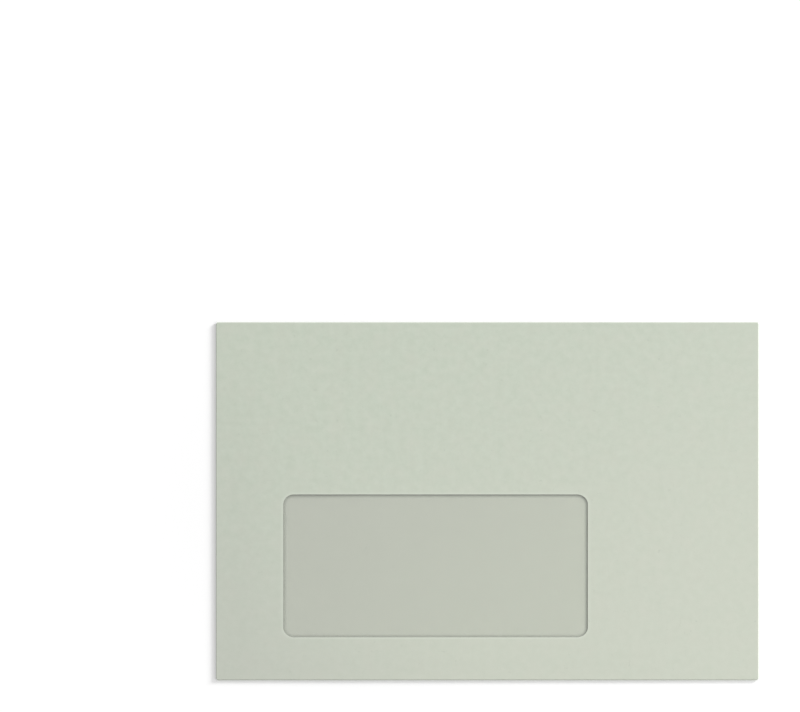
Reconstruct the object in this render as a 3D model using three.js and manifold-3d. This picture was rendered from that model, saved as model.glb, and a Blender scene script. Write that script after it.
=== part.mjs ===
// Window envelope of size C6, closed, lying on its folded seal flap with the window face up.
// Millimetres. +X runs along the long side, +Y towards the fold of the seal flap, +Z up.
// The origin is the middle of the footprint, on the surface that the envelope lies on.

import * as THREE from "three";
import { mergeVertices } from "three/addons/utils/BufferGeometryUtils.js";
import Module from "manifold-3d";

const wasm = await Module();
wasm.setup();

// Finished envelope and the layers it is folded into
const WIDTH = 162;
const HEIGHT = 114;
const PAPER = 0.1; // thickness of the sheet
const FLAP_GAP = 0.1; // air between the closed seal flap and the back panel
const SEAM_GLUE = 0.05; // dried adhesive between a side flap and the back panel
const POCKET_GAP = 0.2; // air between the side flaps and the front panel, beside the folds
const PANEL_RISE = 0.1; // how far the front panel bows up between its folds
const FOLD_RIM = 1; // strip beside each fold that stays flat

// Window opening, and the film behind it
const WINDOW_WIDTH = 91;
const WINDOW_HEIGHT = 45.5;
const WINDOW_LEFT = 20; // from the left edge of the envelope
const WINDOW_BOTTOM = 13.5; // from the bottom edge of the envelope
const WINDOW_CORNER = 3.2; // radius
const FILM = 0.04; // thickness
const FILM_LAP = 6; // how far the film reaches past the opening
const FILM_GLUE = 0.05; // thickness of the adhesive
const FILM_GLUE_SETBACK = 1; // bare strip between the opening and the adhesive
const FILM_GLUE_MARGIN = 1; // bare strip between the adhesive and the film's edge
const FILM_REST = 0.5; // flat paper past the film's edge, before the front panel slopes down

// Back panel: the bottom flap, folded up over the side flaps
const BACK_SIDE_INSET = 0.3; // from the side folds
const THROAT_SHOULDER_DROP = 4.3; // shoulders of the top edge, below the top of the envelope
const THROAT_SHOULDER_WIDTH = 17; // from the side of the back panel to the start of the V
const THROAT_V_DROP = 30; // where the straight sides of the V would meet
const THROAT_V_RADIUS = 78;
const THROAT_SHOULDER_RADIUS = 6; // where a shoulder turns into the V
const BACK_CORNER_RADIUS = 2.5;

// Side flaps
const SIDE_FLAP_WIDTH = 18;
const SIDE_FLAP_TOP_DROP = 0.5; // where the slanted end starts on the fold, below the top edge
const SIDE_FLAP_BOTTOM_LIFT = 0.5; // the same above the bottom edge
const SIDE_FLAP_SLANT = 9; // how much shorter the free edge is than the fold, at each end
const SIDE_FLAP_RADIUS = 6;
const SEAM_GLUE_WIDTH = 9;
const SEAM_GLUE_RADIUS = 3;
const SEAM_GLUE_MARGIN = 3; // from the free edge of the side flap
const SEAM_GLUE_END = 4; // from each end of that free edge

// Seal flap, folded down over the back panel
const FLAP_SHOULDER_DEPTH = 22.5; // from the top edge of the envelope
const FLAP_SHOULDER_INSET = 10; // from the side of the envelope
const FLAP_SHOULDER_RADIUS = 25;
const FLAP_APEX_DEPTH = 46.6; // where the straight edges would meet; the rounded tip is 45 deep
const FLAP_TIP_RADIUS = 30;
const GUM = 0.03; // thickness of the dry gum
const GUM_WIDTH = 10.5; // measured straight down the envelope
const GUM_MARGIN = 0.8; // bare edge outside the gum
const GUM_END = 15; // from the side of the envelope to each end of the gum

const ARC_STEPS = 10; // segments in each arc
const SLOPE_STEPS = 8; // facets across each slope of the front panel
const CUT = 1; // how far a cutter stands out of what it cuts
const GRID = 1e-5; // step that coordinates are rounded to, so that flush faces are exactly flush
const SAME_POINT = 1e-4; // vertices nearer than this are one

// Heights of the undersides of the layers
const Z_FLAP = 0;
const Z_BACK = Z_FLAP + PAPER + FLAP_GAP;
const Z_SIDE = Z_BACK + PAPER + SEAM_GLUE;
const Z_FRONT = Z_SIDE + PAPER + POCKET_GAP;
const Z_PLATEAU = Z_FRONT + PANEL_RISE;

// Lines where the flat of the front panel ends and a fold begins
const foldRadius = (lowerUnderside) => (Z_FRONT + PAPER - lowerUnderside) / 2;
const X_FOLD = WIDTH / 2 - foldRadius(Z_SIDE);
const Y_TOP = HEIGHT / 2 - foldRadius(Z_FLAP);
const Y_BOTTOM = -HEIGHT / 2 + foldRadius(Z_BACK);

const WINDOW_X = -WIDTH / 2 + WINDOW_LEFT + WINDOW_WIDTH / 2;
const WINDOW_Y = -HEIGHT / 2 + WINDOW_BOTTOM + WINDOW_HEIGHT / 2;
const FILM_WIDTH = WINDOW_WIDTH + 2 * FILM_LAP;
const FILM_HEIGHT = WINDOW_HEIGHT + 2 * FILM_LAP;

const SEAM_GLUE_X = WIDTH / 2 - SIDE_FLAP_WIDTH + SEAM_GLUE_MARGIN + SEAM_GLUE_WIDTH / 2;
const SEAM_GLUE_Y = (SIDE_FLAP_BOTTOM_LIFT - SIDE_FLAP_TOP_DROP) / 2;
const SEAM_GLUE_LENGTH = HEIGHT - SIDE_FLAP_TOP_DROP - SIDE_FLAP_BOTTOM_LIFT
  - 2 * (SIDE_FLAP_SLANT + SEAM_GLUE_END);

const SIDES = [-1, 1]; // left and right

/** Solid of a closed geometry, on rounded coordinates. */
function toManifold(geometry) {
  const bare = geometry.index ? geometry.toNonIndexed() : geometry.clone();
  bare.deleteAttribute("normal");
  bare.deleteAttribute("uv");
  const position = bare.getAttribute("position");
  for (let i = 0; i < position.array.length; i += 1) {
    position.array[i] = Math.round(position.array[i] / GRID) * GRID;
  }
  const merged = mergeVertices(bare, SAME_POINT);
  const mesh = new wasm.Mesh({
    numProp: 3,
    vertProperties: merged.getAttribute("position").array,
    triVerts: new Uint32Array(merged.getIndex().array),
  });
  return new wasm.Manifold(mesh);
}

/** Geometry of a finished solid, with a flat normal on each face. */
function toGeometry(solid) {
  const mesh = solid.getMesh();
  const geometry = new THREE.BufferGeometry();
  geometry.setAttribute("position", new THREE.BufferAttribute(mesh.vertProperties, 3));
  geometry.setIndex(new THREE.BufferAttribute(mesh.triVerts, 1));
  const faceted = geometry.toNonIndexed();
  faceted.computeVertexNormals();
  return faceted;
}

/** Closed outline through corners [x, y, radius], each rounded by an arc of its radius. */
function roundedOutline(corners, OutlineType = THREE.Shape) {
  const points = corners.map(([x, y]) => new THREE.Vector2(x, y));
  const traced = corners.flatMap(([, , radius = 0], i) => {
    if (radius === 0) {
      return [points[i]];
    }
    const arrive = points[i].clone().sub(points.at(i - 1)).normalize();
    const leave = points[(i + 1) % points.length].clone().sub(points[i]).normalize();
    const turn = Math.atan2(arrive.cross(leave), arrive.dot(leave));
    const reach = radius * Math.tan(Math.abs(turn) / 2);
    const start = points[i].clone().addScaledVector(arrive, -reach);
    const toCentre = new THREE.Vector2(-arrive.y, arrive.x).multiplyScalar(Math.sign(turn) * radius);
    const centre = start.clone().add(toCentre);
    const from = Math.atan2(-toCentre.y, -toCentre.x);
    const arc = new THREE.ArcCurve(centre.x, centre.y, radius, from, from + turn, turn < 0);
    return arc.getPoints(ARC_STEPS);
  });
  return new OutlineType(traced);
}

/** Rectangle of a width and height about (0, 0), with rounded corners. */
function rectangle(width, height, radius = 0, OutlineType = THREE.Shape) {
  const x = width / 2;
  const y = height / 2;
  const corners = [[x, -y, radius], [x, y, radius], [-x, y, radius], [-x, -y, radius]];
  return roundedOutline(corners, OutlineType);
}

/** The same corners on the other side of the Y axis, so that an outline can be closed there. */
function mirrored(corners) {
  return corners.map(([x, y, radius]) => [-x, y, radius]).reverse();
}

/** Flat plate of an outline, from its underside up. */
function plate(outline, underside, thickness) {
  const settings = { depth: thickness, bevelEnabled: false };
  return new THREE.ExtrudeGeometry(outline, settings).translate(0, 0, underside);
}

/**
 * Half-round fold between the front panel and the plate below it, which it meets face to face. It is
 * made along +X about (0, 0), with its round side towards +Y.
 */
function foldStrip(lowerUnderside, length) {
  const outer = foldRadius(lowerUnderside);
  const inner = outer - PAPER;
  const quarter = Math.PI / 2;
  const outside = new THREE.ArcCurve(0, 0, outer, -quarter, quarter, false);
  const inside = new THREE.ArcCurve(0, 0, inner, quarter, -quarter, true);
  const section = new THREE.Shape([...outside.getPoints(ARC_STEPS), ...inside.getPoints(ARC_STEPS)]);
  const strip = plate(section, -length / 2, length);
  const alongX = new THREE.Matrix4().makeBasis(
    new THREE.Vector3(0, 1, 0),
    new THREE.Vector3(0, 0, 1),
    new THREE.Vector3(1, 0, 0),
  );
  return strip.applyMatrix4(alongX).translate(0, 0, lowerUnderside + outer);
}

/** Share of its full rise that the front panel has between two fold lines, over a flat stretch. */
function swell(at, foldLow, flatLow, flatHigh, foldHigh) {
  const up = THREE.MathUtils.smoothstep(at, foldLow + FOLD_RIM, flatLow);
  const down = 1 - THREE.MathUtils.smoothstep(at, flatHigh, foldHigh - FOLD_RIM);
  return up * down;
}

/** Places of the lines that part the front panel into facets, from one fold to the other. */
function facetLines(foldLow, flatLow, flatHigh, foldHigh) {
  const steps = Array.from({ length: SLOPE_STEPS + 1 }, (_, i) => i / SLOPE_STEPS);
  const rising = steps.map((share) => THREE.MathUtils.lerp(foldLow + FOLD_RIM, flatLow, share));
  const falling = steps.map((share) => THREE.MathUtils.lerp(flatHigh, foldHigh - FOLD_RIM, share));
  return [foldLow, ...rising, ...falling, foldHigh];
}

/** Front panel without its window: flat by the folds, bowed up, and flat again about the film. */
function frontPanel() {
  const flatX = FILM_WIDTH / 2 + FILM_REST;
  const flatY = FILM_HEIGHT / 2 + FILM_REST;
  const limitsX = [-X_FOLD, WINDOW_X - flatX, WINDOW_X + flatX, X_FOLD];
  const limitsY = [Y_BOTTOM, WINDOW_Y - flatY, WINDOW_Y + flatY, Y_TOP];
  const linesX = facetLines(...limitsX);
  const linesY = facetLines(...limitsY);
  const cellsX = linesX.length - 1;
  const cellsY = linesY.length - 1;
  const panel = new THREE.BoxGeometry(1, 1, PAPER, cellsX, cellsY, 1);
  panel.translate(0.5, 0.5, Z_FRONT + PAPER / 2);
  const position = panel.getAttribute("position");
  for (let i = 0; i < position.count; i += 1) {
    const x = linesX[Math.round(position.getX(i) * cellsX)];
    const y = linesY[Math.round(position.getY(i) * cellsY)];
    const rise = PANEL_RISE * swell(x, ...limitsX) * swell(y, ...limitsY);
    position.setXYZ(i, x, y, position.getZ(i) + rise);
  }
  return panel;
}

/** Outline of the seal flap as it lies folded, moved towards its fold by an offset. */
function sealFlapOutline(offset = 0) {
  const top = HEIGHT / 2 + offset;
  const right = [
    [0, top - FLAP_APEX_DEPTH, FLAP_TIP_RADIUS],
    [WIDTH / 2 - FLAP_SHOULDER_INSET, top - FLAP_SHOULDER_DEPTH, FLAP_SHOULDER_RADIUS],
    [X_FOLD, Y_TOP + offset],
  ];
  return roundedOutline([...right, ...mirrored(right.slice(1))]);
}

/** Outline of the back panel, with its shallow V at the throat. */
function backPanelOutline() {
  const side = WIDTH / 2 - BACK_SIDE_INSET;
  const shoulder = HEIGHT / 2 - THROAT_SHOULDER_DROP;
  const right = [
    [side, Y_BOTTOM],
    [side, shoulder, BACK_CORNER_RADIUS],
    [side - THROAT_SHOULDER_WIDTH, shoulder, THROAT_SHOULDER_RADIUS],
  ];
  const bottomOfV = [0, HEIGHT / 2 - THROAT_V_DROP, THROAT_V_RADIUS];
  return roundedOutline([...right, bottomOfV, ...mirrored(right)]);
}

/** Outline of a side flap as it lies folded: side is 1 on the right and -1 on the left. */
function sideFlapOutline(side) {
  const free = WIDTH / 2 - SIDE_FLAP_WIDTH;
  const top = HEIGHT / 2 - SIDE_FLAP_TOP_DROP;
  const bottom = -HEIGHT / 2 + SIDE_FLAP_BOTTOM_LIFT;
  return roundedOutline([
    [side * X_FOLD, bottom],
    [side * X_FOLD, top],
    [side * free, top - SIDE_FLAP_SLANT, SIDE_FLAP_RADIUS],
    [side * free, bottom + SIDE_FLAP_SLANT, SIDE_FLAP_RADIUS],
  ]);
}

/** The whole sheet, cut and folded: front panel, seal flap, back panel and two side flaps. */
function foldedBlank() {
  const opening = plate(
    rectangle(WINDOW_WIDTH, WINDOW_HEIGHT, WINDOW_CORNER),
    Z_PLATEAU - CUT,
    PAPER + 2 * CUT,
  ).translate(WINDOW_X, WINDOW_Y, 0);
  let sheet = toManifold(frontPanel()).subtract(toManifold(opening));

  const topFold = foldStrip(Z_FLAP, 2 * X_FOLD).translate(0, Y_TOP, 0);
  const bottomFoldWidth = WIDTH - 2 * BACK_SIDE_INSET;
  const bottomFold = foldStrip(Z_BACK, bottomFoldWidth).rotateZ(Math.PI).translate(0, Y_BOTTOM, 0);
  const pieces = [
    topFold,
    plate(sealFlapOutline(), Z_FLAP, PAPER),
    bottomFold,
    plate(backPanelOutline(), Z_BACK, PAPER),
  ];

  const foldTop = HEIGHT / 2 - SIDE_FLAP_TOP_DROP;
  const foldBottom = -HEIGHT / 2 + SIDE_FLAP_BOTTOM_LIFT;
  for (const side of SIDES) {
    const fold = foldStrip(Z_SIDE, foldTop - foldBottom).rotateZ((-side * Math.PI) / 2);
    fold.translate(side * X_FOLD, (foldTop + foldBottom) / 2, 0);
    pieces.push(fold, plate(sideFlapOutline(side), Z_SIDE, PAPER));
  }
  for (const piece of pieces) {
    sheet = sheet.add(toManifold(piece));
  }
  return toGeometry(sheet);
}

/** Adhesive between the front panel and the film: a frame round the opening, about (0, 0). */
function filmGlueFrame() {
  const outer = rectangle(FILM_WIDTH - 2 * FILM_GLUE_MARGIN, FILM_HEIGHT - 2 * FILM_GLUE_MARGIN);
  const hole = rectangle(
    WINDOW_WIDTH + 2 * FILM_GLUE_SETBACK,
    WINDOW_HEIGHT + 2 * FILM_GLUE_SETBACK,
    WINDOW_CORNER + FILM_GLUE_SETBACK,
    THREE.Path,
  );
  outer.holes.push(hole);
  return plate(outer, 0, FILM_GLUE);
}

/** Band of dry gum that follows the free edge of the seal flap, with straight ends. */
function gumBand() {
  const outer = plate(sealFlapOutline(GUM_MARGIN), 0, GUM);
  const inner = plate(sealFlapOutline(GUM_MARGIN + GUM_WIDTH), -CUT, GUM + 2 * CUT);
  const span = new THREE.BoxGeometry(WIDTH - 2 * GUM_END, 2 * HEIGHT, 2 * CUT);
  return toGeometry(toManifold(outer).subtract(toManifold(inner)).intersect(toManifold(span)));
}

/** Strip of adhesive that holds a side flap to the back panel, about its own middle. */
function seamGlueStrip() {
  return plate(rectangle(SEAM_GLUE_WIDTH, SEAM_GLUE_LENGTH, SEAM_GLUE_RADIUS), 0, SEAM_GLUE);
}

/** One named piece of the envelope. */
function piece(name, geometry, finish) {
  const mesh = new THREE.Mesh(geometry, new THREE.MeshStandardMaterial(finish));
  mesh.name = name;
  return mesh;
}

const PAPER_FINISH = { color: 0xc8d1c2, roughness: 0.9, metalness: 0 };
const FILM_FINISH = { color: 0xe9eee8, roughness: 0.12, metalness: 0, transparent: true, opacity: 0.3 };
const GLUE_FINISH = { color: 0xe4e2d2, roughness: 0.5, metalness: 0 };
const GUM_FINISH = { color: 0xc5cdbe, roughness: 0.35, metalness: 0 };

const envelope = new THREE.Group();
envelope.name = "window_envelope";
envelope.add(piece("folded_blank", foldedBlank(), PAPER_FINISH));

const pane = new THREE.Group();
pane.position.set(WINDOW_X, WINDOW_Y, Z_PLATEAU - FILM_GLUE);
const glueFrame = piece("window_glue", filmGlueFrame(), GLUE_FINISH);
const film = piece("window_film", plate(rectangle(FILM_WIDTH, FILM_HEIGHT), 0, FILM), FILM_FINISH);
film.position.z = -FILM;
pane.add(glueFrame, film);
envelope.add(pane);

for (const side of SIDES) {
  const name = side < 0 ? "seam_glue_left" : "seam_glue_right";
  const strip = piece(name, seamGlueStrip(), GLUE_FINISH);
  strip.position.set(side * SEAM_GLUE_X, SEAM_GLUE_Y, Z_BACK + PAPER);
  envelope.add(strip);
}

const gum = piece("seal_gum", gumBand(), GUM_FINISH);
gum.position.z = Z_FLAP + PAPER;
envelope.add(gum);

export default envelope;
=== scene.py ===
"""Window envelope of size C6, closed and lying on its seal flap, with its window face up.

Metres. +X runs along the long side, +Y towards the fold of the seal flap, +Z up. The origin is the
middle of the footprint, on the surface that the envelope lies on.
"""

import logging
import math
from dataclasses import dataclass, field
from enum import Enum

import bpy
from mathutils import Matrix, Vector
from mathutils.geometry import delaunay_2d_cdt


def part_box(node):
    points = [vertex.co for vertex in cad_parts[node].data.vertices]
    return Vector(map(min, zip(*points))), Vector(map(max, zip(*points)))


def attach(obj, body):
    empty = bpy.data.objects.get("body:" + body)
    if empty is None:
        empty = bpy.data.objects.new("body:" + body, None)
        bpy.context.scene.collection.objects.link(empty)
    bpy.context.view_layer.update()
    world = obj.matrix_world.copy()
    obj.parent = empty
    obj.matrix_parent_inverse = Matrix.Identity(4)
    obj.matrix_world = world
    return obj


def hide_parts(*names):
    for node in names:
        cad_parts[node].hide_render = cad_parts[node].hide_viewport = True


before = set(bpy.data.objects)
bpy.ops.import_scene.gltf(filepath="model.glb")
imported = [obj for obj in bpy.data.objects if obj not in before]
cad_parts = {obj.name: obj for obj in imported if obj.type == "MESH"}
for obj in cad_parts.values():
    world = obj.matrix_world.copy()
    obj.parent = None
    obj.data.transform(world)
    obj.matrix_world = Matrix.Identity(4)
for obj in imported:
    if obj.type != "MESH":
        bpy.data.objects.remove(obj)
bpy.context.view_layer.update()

log = logging.getLogger("window_envelope")

MM = 0.001

Point = tuple[float, float]
Corner = tuple[float, float, float]


class Slot(str, Enum):
    """Material slots of the record."""

    PAPER = "paper"
    FILM = "film"
    ADHESIVE = "adhesive"
    GUM = "gum"


class Edge(Enum):
    """Edges of the front panel that the sheet is folded at."""

    LEFT = "left"
    RIGHT = "right"
    TOP = "top"
    BOTTOM = "bottom"


class Kind(Enum):
    """Kinds of node, each with its type name and settings."""

    ADD = ("ShaderNodeMath", {"operation": "ADD"})
    SUBTRACT = ("ShaderNodeMath", {"operation": "SUBTRACT"})
    MULTIPLY = ("ShaderNodeMath", {"operation": "MULTIPLY"})
    DIVIDE = ("ShaderNodeMath", {"operation": "DIVIDE"})
    MULTIPLY_ADD = ("ShaderNodeMath", {"operation": "MULTIPLY_ADD"})
    MINIMUM = ("ShaderNodeMath", {"operation": "MINIMUM"})
    MAXIMUM = ("ShaderNodeMath", {"operation": "MAXIMUM"})
    ABSOLUTE = ("ShaderNodeMath", {"operation": "ABSOLUTE"})
    SIGN = ("ShaderNodeMath", {"operation": "SIGN"})
    SINE = ("ShaderNodeMath", {"operation": "SINE"})
    COSINE = ("ShaderNodeMath", {"operation": "COSINE"})
    GREATER_THAN = ("ShaderNodeMath", {"operation": "GREATER_THAN"})
    LENGTH = ("ShaderNodeVectorMath", {"operation": "LENGTH"})
    DOT = ("ShaderNodeVectorMath", {"operation": "DOT_PRODUCT"})
    MIX = ("ShaderNodeMix", {"data_type": "RGBA"})
    STEP = ("ShaderNodeMapRange", {"interpolation_type": "SMOOTHSTEP"})
    SPLIT = ("ShaderNodeSeparateXYZ", {})
    JOIN = ("ShaderNodeCombineXYZ", {})
    NOISE = ("ShaderNodeTexNoise", {})
    CELLS = ("ShaderNodeTexVoronoi", {})
    BUMP = ("ShaderNodeBump", {})
    PLACE = ("ShaderNodeTexCoord", {})
    LIGHT_PATH = ("ShaderNodeLightPath", {})
    SURFACE = ("ShaderNodeBsdfPrincipled", {})
    CLEAR = ("ShaderNodeBsdfTransparent", {})
    MIX_SURFACES = ("ShaderNodeMixShader", {})


# A math result that is kept between 0 and 1
CLAMPED = {"use_clamp": True}


# Small helpers


def linear(colour: str, alpha: float = 1.0) -> tuple[float, float, float, float]:
    """Turns an sRGB hex colour into linear light.

    Args:
        colour: Six hex digits after a hash.
        alpha: Opacity that is passed on unchanged.

    Returns:
        Red, green, blue and alpha.
    """
    channels = [int(colour[i : i + 2], 16) / 255 for i in (1, 3, 5)]
    bent = [c / 12.92 if c <= 0.04045 else ((c + 0.055) / 1.055) ** 2.4 for c in channels]
    return (*bent, alpha)


def add(
    tree: bpy.types.NodeTree,
    kind: Kind | str,
    *values: object,
    settings: dict | None = None,
    **inputs: object,
) -> bpy.types.Node:
    """Adds a node with its settings, values and links.

    Args:
        tree: Node tree that takes the node.
        kind: Kind of node, or its type name.
        values: Value, socket or node for each input in use, in order. A node stands for its first output.
        settings: More attributes of the node itself.
        inputs: The same by the input's name, with underscores for spaces.

    Returns:
        The new node.
    """
    type_name, own_settings = kind.value if isinstance(kind, Kind) else (kind, {})
    node = tree.nodes.new(type_name)
    for name, value in {**own_settings, **(settings or {})}.items():
        setattr(node, name, value)
    sockets = [socket for socket in node.inputs if socket.enabled]
    pairs = list(zip(sockets, values))
    pairs += [(node.inputs[name.replace("_", " ")], value) for name, value in inputs.items()]
    for socket, value in pairs:
        if isinstance(value, bpy.types.Node):
            value = next(output for output in value.outputs if output.enabled)
        if isinstance(value, bpy.types.NodeSocket):
            tree.links.new(value, socket)
        else:
            socket.default_value = value
    return node


def rounded(corners: list[Corner], steps: int = 16) -> list[Point]:
    """Traces a closed outline through corners, each rounded by an arc of its radius.

    Args:
        corners: x, y and radius of each corner, in order.
        steps: Segments in each arc.

    Returns:
        Points of the outline.
    """
    traced = []
    for i, (x, y, radius) in enumerate(corners):
        here = Vector((x, y))
        if radius == 0:
            traced.append((x, y))
            continue
        arrive = (here - Vector(corners[i - 1][:2])).normalized()
        leave = (Vector(corners[(i + 1) % len(corners)][:2]) - here).normalized()
        turn = math.atan2(arrive.x * leave.y - arrive.y * leave.x, arrive.dot(leave))
        start = here - arrive * radius * math.tan(abs(turn) / 2)
        inward = Vector((-arrive.y, arrive.x)) * math.copysign(radius, turn)
        centre = start + inward
        first = math.atan2(-inward.y, -inward.x)
        for k in range(steps + 1):
            angle = first + turn * k / steps
            traced.append((centre.x + radius * math.cos(angle), centre.y + radius * math.sin(angle)))
    return traced


def inside(point: Point, outline: list[Point]) -> bool:
    """Tells whether a point lies within a closed outline.

    Args:
        point: The point.
        outline: Points of the outline.

    Returns:
        True within the outline.
    """
    x, y = point
    within = False
    for (ax, ay), (bx, by) in zip(outline, outline[1:] + outline[:1]):
        if (ay > y) != (by > y) and x < ax + (y - ay) / (by - ay) * (bx - ax):
            within = not within
    return within


def far_from(point: Point, outline: list[Point], gap: float) -> bool:
    """Tells whether a point keeps a gap to every edge of an outline.

    Args:
        point: The point.
        outline: Points of the outline.
        gap: Least distance.

    Returns:
        True if no edge is nearer than the gap.
    """
    x, y = point
    for (ax, ay), (bx, by) in zip(outline, outline[1:] + outline[:1]):
        dx, dy = bx - ax, by - ay
        along = max(0.0, min(1.0, ((x - ax) * dx + (y - ay) * dy) / (dx * dx + dy * dy)))
        if math.hypot(x - ax - along * dx, y - ay - along * dy) < gap:
            return False
    return True


# Sizes


@dataclass(frozen=True)
class EnvelopeSize:
    """Finished envelope and the heights of its layers, measured to the middle of the paper."""

    width: float = 162 * MM
    height: float = 114 * MM
    paper: float = 0.1 * MM
    z_flap: float = 0.05 * MM
    z_back: float = 0.25 * MM
    z_side: float = 0.40 * MM
    z_front: float = 0.70 * MM
    rim: float = 1.0 * MM
    back_rise: float = 0.22 * MM

    @property
    def rise(self) -> float:
        """How far the front panel bows up between its folds."""
        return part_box("folded_blank")[1].z - self.paper / 2 - self.z_front

    def radius(self, edge: Edge) -> float:
        """Half the height between the two layers that the fold at an edge of the front panel joins."""
        below = {Edge.TOP: self.z_flap, Edge.BOTTOM: self.z_back}.get(edge, self.z_side)
        return (self.z_front - below) / 2

    def line(self, edge: Edge) -> float:
        """Distance from the middle of the envelope to the line where the fold at an edge begins."""
        half = self.height / 2 if edge in (Edge.TOP, Edge.BOTTOM) else self.width / 2
        return half - self.radius(edge) - self.paper / 2


@dataclass(frozen=True)
class WindowSize:
    """Window opening and the film patch behind it, placed where the CAD film part in model.glb lies."""

    corner: float = 3.2 * MM
    film_lap: float = 6 * MM
    film_rest: float = 0.5 * MM

    @property
    def x(self) -> float:
        """Middle of the opening along X."""
        return sum(corner.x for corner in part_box("window_film")) / 2

    @property
    def y(self) -> float:
        """Middle of the opening along Y."""
        return sum(corner.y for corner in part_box("window_film")) / 2

    @property
    def width(self) -> float:
        """Size of the opening along X."""
        low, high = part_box("window_film")
        return high.x - low.x - 2 * self.film_lap

    @property
    def height(self) -> float:
        """Size of the opening along Y."""
        low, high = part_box("window_film")
        return high.y - low.y - 2 * self.film_lap

    def outline(self) -> list[Point]:
        """Outline of the opening, in its place on the front panel.

        Returns:
            Points of the outline.
        """
        half_x, half_y = self.width / 2, self.height / 2
        signs = ((1, -1), (1, 1), (-1, 1), (-1, -1))
        return rounded([(self.x + sx * half_x, self.y + sy * half_y, self.corner) for sx, sy in signs])


@dataclass(frozen=True)
class FlapSize:
    """Corners of the four flaps as they lie folded, on the right half of the envelope."""

    back: tuple[Corner, ...] = (
        (80.7 * MM, 52.7 * MM, 2.5 * MM),
        (63.7 * MM, 52.7 * MM, 6 * MM),
    )
    back_middle: Corner = (0.0, 27 * MM, 78 * MM)
    back_side: float = 80.7 * MM
    seal_shoulder: Corner = (71 * MM, 34.5 * MM, 25 * MM)
    seal_tip: Corner = (0.0, 10.4 * MM, 30 * MM)
    side_end: float = 56.5 * MM
    side_free: Corner = (63 * MM, 47.5 * MM, 6 * MM)


# Finishes


def past_opening(
    tree: bpy.types.NodeTree, place: bpy.types.NodeSocket, window: WindowSize
) -> bpy.types.Node:
    """Adds the distance from the outline of the window opening.

    Args:
        tree: Node tree that takes the nodes.
        place: Place on the front panel, in metres.
        window: Size and place of the opening.

    Returns:
        The distance, which is negative within the opening.
    """
    split = add(tree, Kind.SPLIT, place).outputs
    past = []
    for axis, middle, size in (("X", window.x, window.width), ("Y", window.y, window.height)):
        off = add(tree, Kind.ABSOLUTE, add(tree, Kind.SUBTRACT, split[axis], middle))
        past.append(add(tree, Kind.SUBTRACT, off, size / 2 - window.corner))
    outer = [add(tree, Kind.MAXIMUM, value, 0.0) for value in past]
    reach = add(tree, Kind.LENGTH, add(tree, Kind.JOIN, *outer))
    within = add(tree, Kind.MINIMUM, add(tree, Kind.MAXIMUM, *past), 0.0)
    return add(tree, Kind.SUBTRACT, add(tree, Kind.ADD, reach, within), window.corner)


class Finish:
    """A material for one slot of the record."""

    slot: Slot
    name: str

    def shade(self, tree: bpy.types.NodeTree) -> bpy.types.Node:
        """Adds the nodes of the material and gives the shader for its surface."""
        raise NotImplementedError

    def material(self) -> bpy.types.Material:
        """Makes the material.

        Returns:
            The material, with its nodes.
        """
        made = bpy.data.materials.new(self.name)
        made.use_nodes = True
        tree = made.node_tree
        tree.nodes.clear()
        add(tree, "ShaderNodeOutputMaterial", Surface=self.shade(tree))
        return made


@dataclass(frozen=True)
class ToneDriftAndPaintedShade:
    """Slow change of tone over the sheet, towards one side of it; the grey one is painted shade at the lower
    left.
    """

    colour: str
    heading: float
    start: float
    end: float
    share: float


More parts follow.
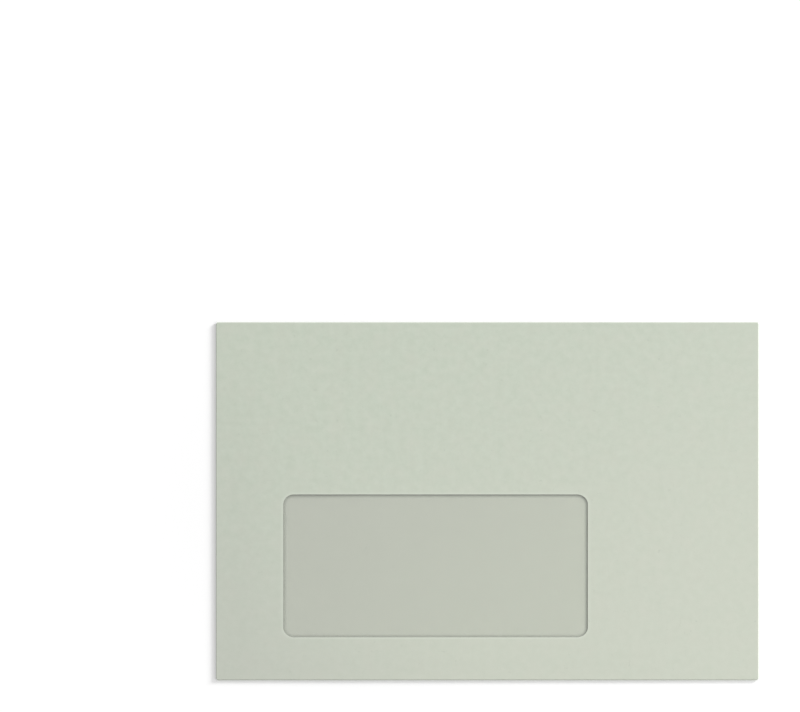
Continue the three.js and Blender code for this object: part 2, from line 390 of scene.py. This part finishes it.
@dataclass(frozen=True)
class RecycledPaper(Finish):
    """Uncoated recycled paper: pulp with stray fibres, calendered once and left without a coating."""

    # The eye sees a dull, slightly cloudy grey green with a few specks and short fibres. Painted highlight
    # makes it paler on the folds and round the opening, and painted shade greyer at the lower left. The real
    # grain is finer than this, and it is drawn as coarse as it needs to show.

    slot: Slot = Slot.PAPER
    name: str = "recycled_paper_uncoated"
    size: EnvelopeSize = field(default_factory=EnvelopeSize)
    window: WindowSize = field(default_factory=WindowSize)
    roughness: float = 0.92
    ior: float = 1.45

    pulp: str = "#c4cdbd"
    pale: str = "#ccd4c5"
    cloud_size: float = 2.4 * MM
    cloud_contrast: float = 2.2

    blush: str = "#cfd1c4"
    blush_size: float = 5.333 * MM
    blush_contrast: float = 3.0
    blush_level: float = 0.4
    blush_share: float = 0.3
    drifts: tuple[ToneDriftAndPaintedShade, ...] = (
        ToneDriftAndPaintedShade(colour=blush, heading=-63.0, start=-57 * MM, end=57 * MM, share=0.45),
        # Painted shade: the grey drift darkens the lower left of the sheet
        ToneDriftAndPaintedShade(colour="#b4b4b0", heading=-145.0, start=20 * MM, end=110 * MM, share=0.28),
    )

    # Painted highlight: a paler tone laid on the folds and along the rim of the opening
    painted_highlight: str = "#dde3d6"
    painted_highlight_share: float = 0.3
    fold_highlight_share: float = 0.4
    fold_highlight_fade: float = 0.25 * MM
    rim_highlight_start: float = 1.1 * MM
    rim_highlight_full: float = 0.1 * MM

    fibre: str = "#b3baad"
    fibre_size: float = 3.2 * MM
    fibre_fineness: float = 110.0
    fibre_patch: float = 1.391 * MM
    fibre_contrast: float = 14.0
    fibre_level: float = 0.6
    fibre_share: float = 0.3
    fibre_height: float = 0.5

    speck: str = "#868d84"
    speck_spacing: float = 9 * MM
    speck_radius: float = 0.16 * MM
    speck_variety: float = 1.6
    speck_sharpness: float = 3.0
    speck_level: float = 0.45
    speck_share: float = 0.7

    grain_size: float = 0.17 * MM
    grain_strength: float = 0.25
    grain_depth: float = 0.02 * MM

    def specks(self, tree: bpy.types.NodeTree, place: bpy.types.NodeSocket) -> bpy.types.Node:
        """Adds ink specks left over from the waste paper, one in some cells of a loose grid.

        Args:
            tree: Node tree of the material.
            place: Place on the flat sheet, in metres.

        Returns:
            1 in a speck, 0 between them.
        """
        cells = add(tree, Kind.CELLS, Vector=place, Scale=1 / self.speck_spacing).outputs
        radius = self.speck_radius / self.speck_spacing
        chance = add(tree, "ShaderNodeSeparateColor", Color=cells["Color"]).outputs
        reach = add(tree, Kind.MULTIPLY, chance["Red"], radius * self.speck_variety)
        near = add(tree, Kind.SUBTRACT, reach, cells["Distance"])
        spot = add(tree, Kind.MULTIPLY, near, self.speck_sharpness / radius, settings=CLAMPED)
        return add(tree, Kind.MULTIPLY, spot, add(tree, Kind.GREATER_THAN, chance["Green"], self.speck_level))

    def fibres(self, tree: bpy.types.NodeTree, place: bpy.types.NodeSocket) -> bpy.types.Node:
        """Adds stray fibres: short stretches of the level lines of a noise.

        Args:
            tree: Node tree of the material.
            place: Place on the flat sheet, in metres.

        Returns:
            1 on a fibre, 0 beside it.
        """
        waves = add(tree, Kind.NOISE, Vector=place, Scale=1 / self.fibre_size, Detail=1.0)
        level = add(tree, Kind.ABSOLUTE, add(tree, Kind.SUBTRACT, waves, 0.5))
        line = add(tree, Kind.MULTIPLY_ADD, level, -self.fibre_fineness, 1.0, settings=CLAMPED)
        patches = add(tree, Kind.NOISE, Vector=place, Scale=1 / self.fibre_patch, Detail=0.0)
        past = add(tree, Kind.SUBTRACT, patches, self.fibre_level)
        shown = add(tree, Kind.MULTIPLY, past, self.fibre_contrast, settings=CLAMPED)
        return add(tree, Kind.MULTIPLY, line, shown)

    def drift(self, tree: bpy.types.NodeTree, place: bpy.types.NodeSocket, tone: ToneDriftAndPaintedShade) -> bpy.types.Node:
        """Adds a slow change of tone over the sheet; the grey drift is painted shade.

        Args:
            tree: Node tree of the material.
            place: Place on the flat sheet, in metres.
            tone: Direction, reach and strength of the change.

        Returns:
            Share of the changed tone.
        """
        way = (math.cos(math.radians(tone.heading)), math.sin(math.radians(tone.heading)), 0)
        along = add(tree, Kind.DOT, place, way)
        return add(tree, Kind.MULTIPLY, add(tree, Kind.STEP, along, tone.start, tone.end), tone.share)

    def fold_highlight_mask(self, tree: bpy.types.NodeTree, place: bpy.types.NodeSocket) -> bpy.types.Node:
        """Adds the folds, where a painted highlight makes the bent surface a little paler.

        Args:
            tree: Node tree of the material.
            place: Place on the flat sheet, in metres.

        Returns:
            1 on a fold, 0 away from it.
        """
        split = add(tree, Kind.SPLIT, place).outputs
        across = {
            Edge.RIGHT: add(tree, Kind.ABSOLUTE, split["X"]),
            Edge.TOP: split["Y"],
            Edge.BOTTOM: add(tree, Kind.MULTIPLY, split["Y"], -1.0),
        }
        shown: object = 0.0
        for edge, distance in across.items():
            half_arc = math.pi * self.size.radius(edge) / 2
            off = add(tree, Kind.SUBTRACT, distance, self.size.line(edge) + half_arc)
            past = add(tree, Kind.ABSOLUTE, off)
            on_fold = add(tree, Kind.STEP, past, half_arc + self.fold_highlight_fade, half_arc)
            shown = add(tree, Kind.MAXIMUM, shown, on_fold)
        return shown

    def shade(self, tree: bpy.types.NodeTree) -> bpy.types.Node:
        """Adds cloudy pulp, specks and fibre grain, all on the flat sheet's own map in metres.

        Args:
            tree: Node tree of the material.

        Returns:
            The shader for the surface.
        """
        place = add(tree, "ShaderNodeUVMap", settings={"uv_map": "sheet"}).outputs["UV"]
        clouds = add(tree, Kind.NOISE, Vector=place, Scale=1 / self.cloud_size, Detail=4.0, Roughness=0.6)
        base = 0.5 - 0.5 * self.cloud_contrast
        cloudy = add(tree, Kind.MULTIPLY_ADD, clouds, self.cloud_contrast, base, settings=CLAMPED)
        tone = add(tree, Kind.MIX, cloudy, linear(self.pulp), linear(self.pale))

        dye = add(tree, Kind.NOISE, Vector=place, Scale=1 / self.blush_size, Detail=2.0)
        past = add(tree, Kind.SUBTRACT, dye, self.blush_level)
        uneven = add(tree, Kind.MULTIPLY, past, self.blush_contrast, settings=CLAMPED)
        uneven = add(tree, Kind.MULTIPLY, uneven, self.blush_share)
        tone = add(tree, Kind.MIX, uneven, tone, linear(self.blush))
        for change in self.drifts:
            tone = add(tree, Kind.MIX, self.drift(tree, place, change), tone, linear(change.colour))

        # Painted highlight: the paper is made a little paler on the folds and along the rim of the opening
        past = past_opening(tree, place, self.window)
        rim_highlight = add(tree, Kind.STEP, past, self.rim_highlight_start, self.rim_highlight_full)
        fold_highlight = add(tree, Kind.MULTIPLY, self.fold_highlight_mask(tree, place), self.fold_highlight_share)
        painted_highlight = add(tree, Kind.MULTIPLY, add(tree, Kind.MAXIMUM, fold_highlight, rim_highlight), self.painted_highlight_share)
        tone = add(tree, Kind.MIX, painted_highlight, tone, linear(self.painted_highlight))

        fibres = self.fibres(tree, place)
        fibrous = add(tree, Kind.MULTIPLY, fibres, self.fibre_share)
        tone = add(tree, Kind.MIX, fibrous, tone, linear(self.fibre))
        specks = add(tree, Kind.MULTIPLY, self.specks(tree, place), self.speck_share)
        tone = add(tree, Kind.MIX, specks, tone, linear(self.speck))

        grain = add(tree, Kind.NOISE, Vector=place, Scale=1 / self.grain_size, Detail=3.0, Roughness=0.7)
        height = add(tree, Kind.MULTIPLY_ADD, fibres, self.fibre_height, grain)
        bump = add(tree, Kind.BUMP, Height=height, Strength=self.grain_strength, Distance=self.grain_depth)
        return add(
            tree, Kind.SURFACE, Base_Color=tone, Roughness=self.roughness, IOR=self.ior, Normal=bump
        )


@dataclass(frozen=True)
class ClearFilm(Finish):
    """Clear polystyrene film, cast smooth, with a faint haze."""

    # The eye sees the paper behind it, a little greyer, with a soft shine and a darker line at the rim,
    # which is painted shade.

    slot: Slot = Slot.FILM
    name: str = "polystyrene_film_clear"
    window: WindowSize = field(default_factory=WindowSize)
    roughness: float = 0.12
    ior: float = 1.59
    tint: str = "#fdfdfc"
    painted_rim_shade: str = "#edeeec"
    shade_start: float = 1.2 * MM
    shade_full: float = 0.2 * MM
    body: str = "#e8ebe3"
    haze: float = 0.25
    haze_spread: float = 0.1
    ripple_size: float = 16 * MM
    ripple_strength: float = 0.4
    ripple_depth: float = 0.3 * MM

    def shade(self, tree: bpy.types.NodeTree) -> bpy.types.Node:
        """Adds a see-through shader under a glossy one with a little haze.

        Args:
            tree: Node tree of the material.

        Returns:
            The shader for the surface.
        """
        place = add(tree, Kind.PLACE).outputs["Object"]
        ripple = add(tree, Kind.NOISE, Vector=place, Scale=1 / self.ripple_size, Detail=2.0)
        spread = self.haze * self.haze_spread
        haze = add(tree, Kind.MULTIPLY_ADD, ripple, spread, self.haze - spread / 2)
        wavy = add(tree, Kind.BUMP, Height=ripple, Strength=self.ripple_strength, Distance=self.ripple_depth)
        # Painted shade: the see-through tint darkens along the rim of the opening, for the cut edge's shadow
        past = past_opening(tree, place, self.window)
        line = add(tree, Kind.STEP, past, -self.shade_start, -self.shade_full)
        clear = add(tree, Kind.CLEAR, add(tree, Kind.MIX, line, linear(self.tint), linear(self.painted_rim_shade)))
        body = linear(self.body)
        gloss = add(tree, Kind.SURFACE, Base_Color=body, Roughness=self.roughness, IOR=self.ior, Normal=wavy)
        return add(tree, Kind.MIX_SURFACES, haze, clear, gloss)


@dataclass(frozen=True)
class DriedAdhesive(Finish):
    """White dispersion adhesive, rolled on and dried dull."""

    # The eye sees a milky layer, thinner and thicker in streaks, where a flap is lifted.

    slot: Slot = Slot.ADHESIVE
    name: str = "dispersion_adhesive_dried"
    roughness: float = 0.5
    ior: float = 1.47
    thin: str = "#d9d8ca"
    thick: str = "#e6e4d6"
    streak_size: float = 2.0 * MM
    streak_strength: float = 0.3
    streak_depth: float = 0.02 * MM

    def shade(self, tree: bpy.types.NodeTree) -> bpy.types.Node:
        """Adds a milky layer of uneven thickness.

        Args:
            tree: Node tree of the material.

        Returns:
            The shader for the surface.
        """
        place = add(tree, Kind.PLACE).outputs["Object"]
        streaks = add(tree, Kind.NOISE, Vector=place, Scale=1 / self.streak_size, Detail=3.0)
        milk = add(tree, Kind.MIX, streaks, linear(self.thin), linear(self.thick))
        bump = add(tree, Kind.BUMP, Height=streaks, Strength=self.streak_strength, Distance=self.streak_depth)
        return add(
            tree, Kind.SURFACE, Base_Color=milk, Roughness=self.roughness, IOR=self.ior, Normal=bump
        )


@dataclass(frozen=True)
class DryGum(Finish):
    """Remoistenable gum, rolled on wet and dried with a slight shine."""

    # The eye sees a band with a slight shine, close in tone to the paper under it.

    slot: Slot = Slot.GUM
    name: str = "remoistenable_gum_dry"
    roughness: float = 0.35
    ior: float = 1.5
    thin: str = "#c2cabb"
    thick: str = "#cad0c2"
    peel_size: float = 1.1 * MM
    peel_strength: float = 0.3
    peel_depth: float = 0.01 * MM

    def shade(self, tree: bpy.types.NodeTree) -> bpy.types.Node:
        """Adds a slightly shiny tone close to the paper below it.

        Args:
            tree: Node tree of the material.

        Returns:
            The shader for the surface.
        """
        place = add(tree, Kind.PLACE).outputs["Object"]
        peel = add(tree, Kind.NOISE, Vector=place, Scale=1 / self.peel_size, Detail=2.0)
        tone = add(tree, Kind.MIX, peel, linear(self.thin), linear(self.thick))
        bump = add(tree, Kind.BUMP, Height=peel, Strength=self.peel_strength, Distance=self.peel_depth)
        return add(
            tree, Kind.SURFACE, Base_Color=tone, Roughness=self.roughness, IOR=self.ior, Normal=bump
        )


# The folded sheet


@dataclass
class FoldedBlank:
    """The one sheet of paper: front panel, seal flap, back panel and two side flaps."""

    size: EnvelopeSize = field(default_factory=EnvelopeSize)
    window: WindowSize = field(default_factory=WindowSize)
    flaps: FlapSize = field(default_factory=FlapSize)
    finish: Finish = field(default_factory=RecycledPaper)
    grid: float = 2.0 * MM
    clearance: float = 0.6 * MM
    fold_steps: int = 12
    rim: float = 0.15 * MM
    back_level: float = 20 * MM
    same_point: float = 1e-8
    sharp_angle: float = 40

    def arc(self, edge: Edge) -> float:
        """Length of paper that a fold takes up."""
        return math.pi * self.size.radius(edge)

    def unfolded(self, edge: Edge, place: float) -> float:
        """Distance from the middle, on the flat sheet, of a flap's point that lies at a place when folded."""
        return 2 * self.size.line(edge) + self.arc(edge) - place

    def outline(self) -> list[Point]:
        """Outline of the flat sheet, anticlockwise from the bottom of the right side flap.

        Returns:
            Points of the outline.
        """
        size, flaps = self.size, self.flaps
        x_fold, y_top, y_bottom = (size.line(e) for e in (Edge.RIGHT, Edge.TOP, Edge.BOTTOM))
        x_far, y_far = x_fold + self.arc(Edge.RIGHT), y_top + self.arc(Edge.TOP)
        free_x, free_y, free_radius = flaps.side_free
        free_x = self.unfolded(Edge.RIGHT, free_x)
        upper_right = [
            (free_x, free_y, free_radius),
            (x_far, flaps.side_end, 0.0),
            (x_fold, flaps.side_end, 0.0),
            (x_fold, y_top, 0.0),
            (x_fold, y_far, 0.0),
        ]
        shoulder_x, shoulder_y, shoulder_radius = flaps.seal_shoulder
        upper_right.append((shoulder_x, self.unfolded(Edge.TOP, shoulder_y), shoulder_radius))
        tip = (0.0, self.unfolded(Edge.TOP, flaps.seal_tip[1]), flaps.seal_tip[2])

        lower_right = [(x, -self.unfolded(Edge.BOTTOM, -y), radius) for x, y, radius in reversed(flaps.back)]
        lower_right += [
            (flaps.back_side, -y_bottom - self.arc(Edge.BOTTOM), 0.0),
            (flaps.back_side, -y_bottom, 0.0),
            (x_fold, -y_bottom, 0.0),
            (x_fold, -flaps.side_end, 0.0),
            (x_far, -flaps.side_end, 0.0),
            (free_x, -free_y, free_radius),
        ]
        middle = (0.0, -self.unfolded(Edge.BOTTOM, -flaps.back_middle[1]), flaps.back_middle[2])
        right = lower_right + upper_right
        left = [(-x, y, radius) for x, y, radius in reversed(right)]
        return rounded([*right, tip, *left, middle])

    def crease_lines(self) -> list[tuple[Point, Point]]:
        """Lines along the four folds, close enough together for each fold to look round.

        Returns:
            The two ends of each line, on the flat sheet.
        """
        size, flaps = self.size, self.flaps
        spans = {
            Edge.RIGHT: flaps.side_end,
            Edge.LEFT: flaps.side_end,
            Edge.TOP: size.line(Edge.RIGHT),
            Edge.BOTTOM: flaps.back_side,
        }
        lines = []
        for edge, half in spans.items():
            start, arc = size.line(edge), self.arc(edge)
            places = [start - self.rim]
            places += [start + arc * k / self.fold_steps for k in range(self.fold_steps + 1)]
            places.append(start + arc + self.rim)
            sign = -1 if edge in (Edge.LEFT, Edge.BOTTOM) else 1
            for place in places:
                ends = [(sign * place, -half), (sign * place, half)]
                if edge in (Edge.TOP, Edge.BOTTOM):
                    ends = [(y, x) for x, y in ends]
                lines.append(tuple(ends))
        return lines

    def flat_mesh(self) -> bpy.types.Mesh:
        """Makes the flat sheet, with its opening, as a net of triangles.

        Returns:
            The mesh, with its map in metres.
        """
        outline, opening = self.outline(), self.window.outline()
        points: list[Point] = []
        edges: list[tuple[int, int]] = []
        for ring in (outline, opening):
            first = len(points)
            points += ring
            edges += [(first + i, first + (i + 1) % len(ring)) for i in range(len(ring))]
        for start, end in self.crease_lines():
            edges.append((len(points), len(points) + 1))
            points += [start, end]
        points += self.grid_points(outline, opening)
        solved = delaunay_2d_cdt([Vector(p) for p in points], edges, [], 1, self.same_point)
        verts, faces = solved[0], solved[2]
        kept = []
        for face in faces:
            middle = sum((verts[i] for i in face), Vector((0, 0))) / len(face)
            if inside(tuple(middle), outline) and not inside(tuple(middle), opening):
                kept.append(face)
        mesh = bpy.data.meshes.new("sheet_flat")
        mesh.from_pydata([(v.x, v.y, 0) for v in verts], [], kept)
        mesh.validate()
        layer = mesh.uv_layers.new(name="sheet")
        for loop in mesh.loops:
            layer.data[loop.index].uv = mesh.vertices[loop.vertex_index].co.xy
        return mesh

    def grid_points(self, outline: list[Point], opening: list[Point]) -> list[Point]:
        """Points of an even grid on the sheet, away from its edges and folds.

        Args:
            outline: Outline of the sheet.
            opening: Outline of the window.

        Returns:
            The points.
        """
        reach = max(max(abs(x), abs(y)) for x, y in outline)
        steps = math.ceil(reach / self.grid)
        bands = []
        for edge in Edge:
            axis = 1 if edge in (Edge.TOP, Edge.BOTTOM) else 0
            sign = -1 if edge in (Edge.LEFT, Edge.BOTTOM) else 1
            low = self.size.line(edge) - self.rim - self.clearance
            high = self.size.line(edge) + self.arc(edge) + self.rim + self.clearance
            bands.append((axis, sign, low, high))
        found = []
        for i in range(-steps, steps + 1):
            for j in range(-steps, steps + 1):
                point = (i * self.grid, (j + 0.5 * (i % 2)) * self.grid)
                if any(low < sign * point[axis] < high for axis, sign, low, high in bands):
                    continue
                if not inside(point, outline) or inside(point, opening):
                    continue
                if far_from(point, outline, self.clearance) and far_from(point, opening, self.clearance):
                    found.append(point)
        return found

    def fold_sizes(self) -> dict[str, float]:
        """Gives the sizes that the folding group takes.

        Returns:
            Value of each input, by its name.
        """
        size = self.size
        return {
            "Side fold": size.line(Edge.RIGHT),
            "Side radius": size.radius(Edge.RIGHT),
            "Top fold": size.line(Edge.TOP),
            "Top radius": size.radius(Edge.TOP),
            "Bottom fold": size.line(Edge.BOTTOM),
            "Bottom radius": size.radius(Edge.BOTTOM),
            "Front height": size.z_front,
            "Rise": size.rise,
            "Rim": size.rim,
            "Back rise": size.back_rise,
        }

    def fold_tree(self, material: bpy.types.Material) -> bpy.types.NodeTree:
        """Makes the node group that folds the flat sheet and bows its front panel.

        Args:
            material: Finish of the sheet.

        Returns:
            The group, with named inputs for its sizes.
        """
        tree = bpy.data.node_groups.new("fold_sheet", "GeometryNodeTree")
        size = self.size
        tree.interface.new_socket("Sheet", in_out="INPUT", socket_type="NodeSocketGeometry")
        for name in self.fold_sizes():
            tree.interface.new_socket(name, in_out="INPUT", socket_type="NodeSocketFloat")
        tree.interface.new_socket("Folded", in_out="OUTPUT", socket_type="NodeSocketGeometry")

        given = add(tree, "NodeGroupInput").outputs
        flat = add(tree, "GeometryNodeInputPosition")
        split = add(tree, Kind.SPLIT, flat).outputs
        x, y = split["X"], split["Y"]

        def wrapped(
            place: bpy.types.NodeSocket, fold: bpy.types.NodeSocket, radius: bpy.types.NodeSocket
        ) -> tuple[bpy.types.Node, bpy.types.Node]:
            """Takes a distance from the middle round a fold.

            Args:
                place: Distance on the flat sheet, towards the fold.
                fold: Distance of the line where the fold begins.
                radius: Radius of the fold.

            Returns:
                Distance past the fold line, after folding, and height lost.
            """
            past = add(tree, Kind.MAXIMUM, add(tree, Kind.SUBTRACT, place, fold), 0.0)
            angle = add(tree, Kind.MINIMUM, add(tree, Kind.DIVIDE, past, radius), math.pi)
            out = add(tree, Kind.MULTIPLY, add(tree, Kind.SINE, angle), radius)
            spent = add(tree, Kind.MULTIPLY, angle, radius)
            back = add(tree, Kind.SUBTRACT, out, add(tree, Kind.SUBTRACT, past, spent))
            turned = add(tree, Kind.SUBTRACT, 1.0, add(tree, Kind.COSINE, angle))
            return back, add(tree, Kind.MULTIPLY, turned, radius)

        side = add(tree, Kind.ABSOLUTE, x)
        side_back, side_drop = wrapped(side, given["Side fold"], given["Side radius"])
        top_back, top_drop = wrapped(y, given["Top fold"], given["Top radius"])
        down = add(tree, Kind.MULTIPLY, y, -1.0)
        bottom_back, bottom_drop = wrapped(down, given["Bottom fold"], given["Bottom radius"])

        folded_x = add(tree, Kind.MINIMUM, side, given["Side fold"])
        folded_x = add(tree, Kind.ADD, folded_x, side_back)
        folded_x = add(tree, Kind.MULTIPLY, folded_x, add(tree, Kind.SIGN, x))
        folded_y = add(tree, Kind.MINIMUM, y, given["Top fold"])
        folded_y = add(tree, Kind.MAXIMUM, folded_y, add(tree, Kind.MULTIPLY, given["Bottom fold"], -1.0))
        folded_y = add(tree, Kind.SUBTRACT, add(tree, Kind.ADD, folded_y, top_back), bottom_back)
        drop = add(tree, Kind.ADD, add(tree, Kind.ADD, side_drop, top_drop), bottom_drop)

        # The front panel bows up between its folds and lies flat over the film
        rise = given["Rise"]
        window = self.window
        flat_x = window.width / 2 + window.film_lap + window.film_rest
        flat_y = window.height / 2 + window.film_lap + window.film_rest
        for place, low, high, flat_low, flat_high in (
            (x, given["Side fold"], given["Side fold"], window.x - flat_x, window.x + flat_x),
            (y, given["Bottom fold"], given["Top fold"], window.y - flat_y, window.y + flat_y),
        ):
            low = add(tree, Kind.SUBTRACT, given["Rim"], low)
            high = add(tree, Kind.SUBTRACT, high, given["Rim"])
            for edge, level in ((low, flat_low), (high, flat_high)):
                rise = add(tree, Kind.MULTIPLY, rise, add(tree, Kind.STEP, place, edge, level))

        # The back panel bows up towards the film, between the side flaps
        lift = given["Back rise"]
        free_x = self.flaps.side_free[0]
        below, above = window.y - window.height / 2, window.y + window.height / 2
        for place, levels in (
            (x, (-free_x, -window.width / 3, window.width / 3, free_x)),
            (folded_y, (-size.line(Edge.BOTTOM), below, above, self.back_level)),
        ):
            for edge, level in (levels[:2], levels[:1:-1]):
                lift = add(tree, Kind.MULTIPLY, lift, add(tree, Kind.STEP, place, edge, level))
        on_back = add(tree, Kind.GREATER_THAN, down, size.line(Edge.BOTTOM) + self.arc(Edge.BOTTOM))
        rise = add(tree, Kind.ADD, rise, add(tree, Kind.MULTIPLY, lift, on_back))

        height = add(tree, Kind.SUBTRACT, add(tree, Kind.ADD, given["Front height"], rise), drop)
        folded = add(tree, Kind.JOIN, folded_x, folded_y, height)
        moved = add(tree, "GeometryNodeSetPosition", Geometry=given["Sheet"], Position=folded)
        real = add(tree, "GeometryNodeRealizeInstances", Geometry=moved)
        dressed = add(tree, "GeometryNodeSetMaterial", Geometry=real, Material=material)
        add(tree, "NodeGroupOutput", Folded=dressed)
        return tree

    def build(self) -> bpy.types.Object:
        """Makes the folded sheet in its place.

        Returns:
            The finished piece, standing for the CAD sheet.
        """
        material = self.finish.material()
        flat = bpy.data.objects.new("sheet_source", self.flat_mesh())
        bpy.context.scene.collection.objects.link(flat)
        fold = flat.modifiers.new("fold", "NODES")
        fold.node_group = self.fold_tree(material)
        identifiers = {item.name: item.identifier for item in fold.node_group.interface.items_tree}
        for name, value in self.fold_sizes().items():
            fold[identifiers[name]] = value
        thick = flat.modifiers.new("thickness", "SOLIDIFY")
        thick.thickness = self.size.paper
        thick.offset = 0
        evaluated = flat.evaluated_get(bpy.context.evaluated_depsgraph_get())
        mesh = bpy.data.meshes.new_from_object(evaluated)
        mesh.name = "folded_sheet"
        mesh.shade_smooth()
        mesh.set_sharp_from_angle(angle=math.radians(self.sharp_angle))
        bpy.data.objects.remove(flat)
        piece = bpy.data.objects.new("folded_sheet", mesh)
        bpy.context.scene.collection.objects.link(piece)
        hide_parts("folded_blank")
        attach(piece, "root")
        log.info("folded_sheet: %d faces", len(mesh.polygons))
        return piece


@dataclass
class DressedNodes:
    """Thin layers that keep the form of the CAD and take a finer finish."""

    finishes: dict[str, Finish] = field(
        default_factory=lambda: {
            "window_film": ClearFilm(),
            "window_glue": DriedAdhesive(),
            "seam_glue_left": DriedAdhesive(),
            "seam_glue_right": DriedAdhesive(),
            "seal_gum": DryGum(),
        }
    )

    def dress(self) -> None:
        """Gives each layer its finish."""
        made: dict[str, bpy.types.Material] = {}
        for name, finish in self.finishes.items():
            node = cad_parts[name]
            if finish.name not in made:
                made[finish.name] = finish.material()
            node.data.materials.clear()
            node.data.materials.append(made[finish.name])
            log.info("%s: %s", name, finish.name)


# Floor, lamps and camera


@dataclass(frozen=True)
class Lamp:
    """Round lamp that faces the middle of the envelope."""

    name: str
    azimuth: float
    elevation: float
    distance: float
    size: float
    power: float

    def build(self) -> None:
        """Makes the lamp in its place."""
        azimuth, elevation = math.radians(self.azimuth), math.radians(self.elevation)
        across = math.cos(elevation)
        towards = Vector((across * math.cos(azimuth), across * math.sin(azimuth), math.sin(elevation)))
        data = bpy.data.lights.new(self.name, "AREA")
        data.shape = "DISK"
        data.size = self.size
        data.energy = self.power
        lamp = bpy.data.objects.new(self.name, data)
        lamp.location = towards * self.distance
        lamp.rotation_euler = towards.to_track_quat("Z", "Y").to_euler()
        bpy.context.scene.collection.objects.link(lamp)


@dataclass
class Studio:
    """White floor, soft lamps from the right, and an even sky."""

    floor_width: float = 4.0
    floor_albedo: float = 0.92
    floor_glow: float = 0.12
    floor_evening: float = 0.9
    floor_near: float = 0.07
    lamps: tuple[Lamp, ...] = (
        Lamp("key", azimuth=30.0, elevation=18.5, distance=3.0, size=1.0, power=90.5),
        Lamp("fill", azimuth=-35.0, elevation=40.0, distance=0.8, size=0.4, power=1.2),
    )
    sky: float = 0.55
    tilt: float = 20.4
    view_width: float = 238.9 * MM
    aim: tuple[float, float, float] = (-26.1 * MM, 0, 0.6 * MM)
    aim_up: float = 43.3 * MM
    camera_distance: float = 0.8
    clip: tuple[float, float] = (0.01, 10)

    def floor(self) -> None:
        """Makes the floor, which the eye sees white wherever no shadow falls."""
        half = self.floor_width / 2
        mesh = bpy.data.meshes.new("floor")
        corners = [(-half, -half, 0), (half, -half, 0), (half, half, 0), (-half, half, 0)]
        mesh.from_pydata(corners, [], [(0, 1, 2, 3)])
        ground = bpy.data.objects.new("floor", mesh)
        bpy.context.scene.collection.objects.link(ground)
        made = bpy.data.materials.new("floor_white")
        made.use_nodes = True
        tree = made.node_tree
        tree.nodes.clear()
        path = add(tree, Kind.LIGHT_PATH).outputs
        seen = add(tree, Kind.MAXIMUM, path["Is Camera Ray"], path["Is Glossy Ray"])
        seen = add(tree, Kind.MAXIMUM, seen, path["Is Transmission Ray"])
        # The lamps light the far floor less, so the glow grows with the distance from the envelope
        place = add(tree, Kind.PLACE).outputs["Object"]
        least = self.floor_glow - self.floor_evening * self.floor_near
        level = add(tree, Kind.MULTIPLY_ADD, add(tree, Kind.LENGTH, place), self.floor_evening, least)
        glow = add(tree, Kind.MULTIPLY, seen, add(tree, Kind.MAXIMUM, level, self.floor_glow))
        white = (self.floor_albedo, self.floor_albedo, self.floor_albedo, 1)
        matt = add(tree, "ShaderNodeBsdfDiffuse", Color=white)
        lit = add(tree, "ShaderNodeEmission", Strength=glow)
        both = add(tree, "ShaderNodeAddShader", matt, lit)
        below = add(tree, "ShaderNodeNewGeometry").outputs["Backfacing"]
        clear = add(tree, Kind.CLEAR)
        surface = add(tree, Kind.MIX_SURFACES, below, both, clear)
        add(tree, "ShaderNodeOutputMaterial", Surface=surface)
        mesh.materials.append(made)

    def light(self) -> None:
        """Makes the lamps and the sky."""
        for lamp in self.lamps:
            lamp.build()
        world = bpy.data.worlds.new("sky")
        bpy.context.scene.world = world
        world.use_nodes = True
        tree = world.node_tree
        tree.nodes.clear()
        path = add(tree, Kind.LIGHT_PATH).outputs
        seen = add(tree, Kind.MAXIMUM, path["Is Camera Ray"], path["Is Transmission Ray"])
        strength = add(tree, Kind.MAXIMUM, seen, self.sky)
        lit = add(tree, "ShaderNodeBackground", Color=(1, 1, 1, 1), Strength=strength)
        add(tree, "ShaderNodeOutputWorld", Surface=lit)

    def camera(self) -> None:
        """Makes the camera: no perspective, tilted off the square view of the front panel."""
        tilt = math.radians(self.tilt)
        up = Vector((0, math.cos(tilt), math.sin(tilt)))
        back = Vector((0, -math.sin(tilt), math.cos(tilt)))
        data = bpy.data.cameras.new("camera")
        data.type = "ORTHO"
        data.ortho_scale = self.view_width
        data.clip_start, data.clip_end = self.clip
        eye = bpy.data.objects.new("camera", data)
        eye.location = Vector(self.aim) + up * self.aim_up + back * self.camera_distance
        eye.rotation_euler = (tilt, 0, 0)
        bpy.context.scene.collection.objects.link(eye)
        bpy.context.scene.camera = eye

    def build(self) -> None:
        """Makes the floor, the lamps and the camera."""
        self.floor()
        self.light()
        self.camera()
        bpy.context.scene.view_settings.view_transform = "Standard"


def main() -> None:
    """Builds the envelope and its surroundings in order."""
    logging.basicConfig(level=logging.INFO, format="%(name)s %(message)s")
    FoldedBlank().build()
    DressedNodes().dress()
    Studio().build()


if __name__ == "__main__":
    main()
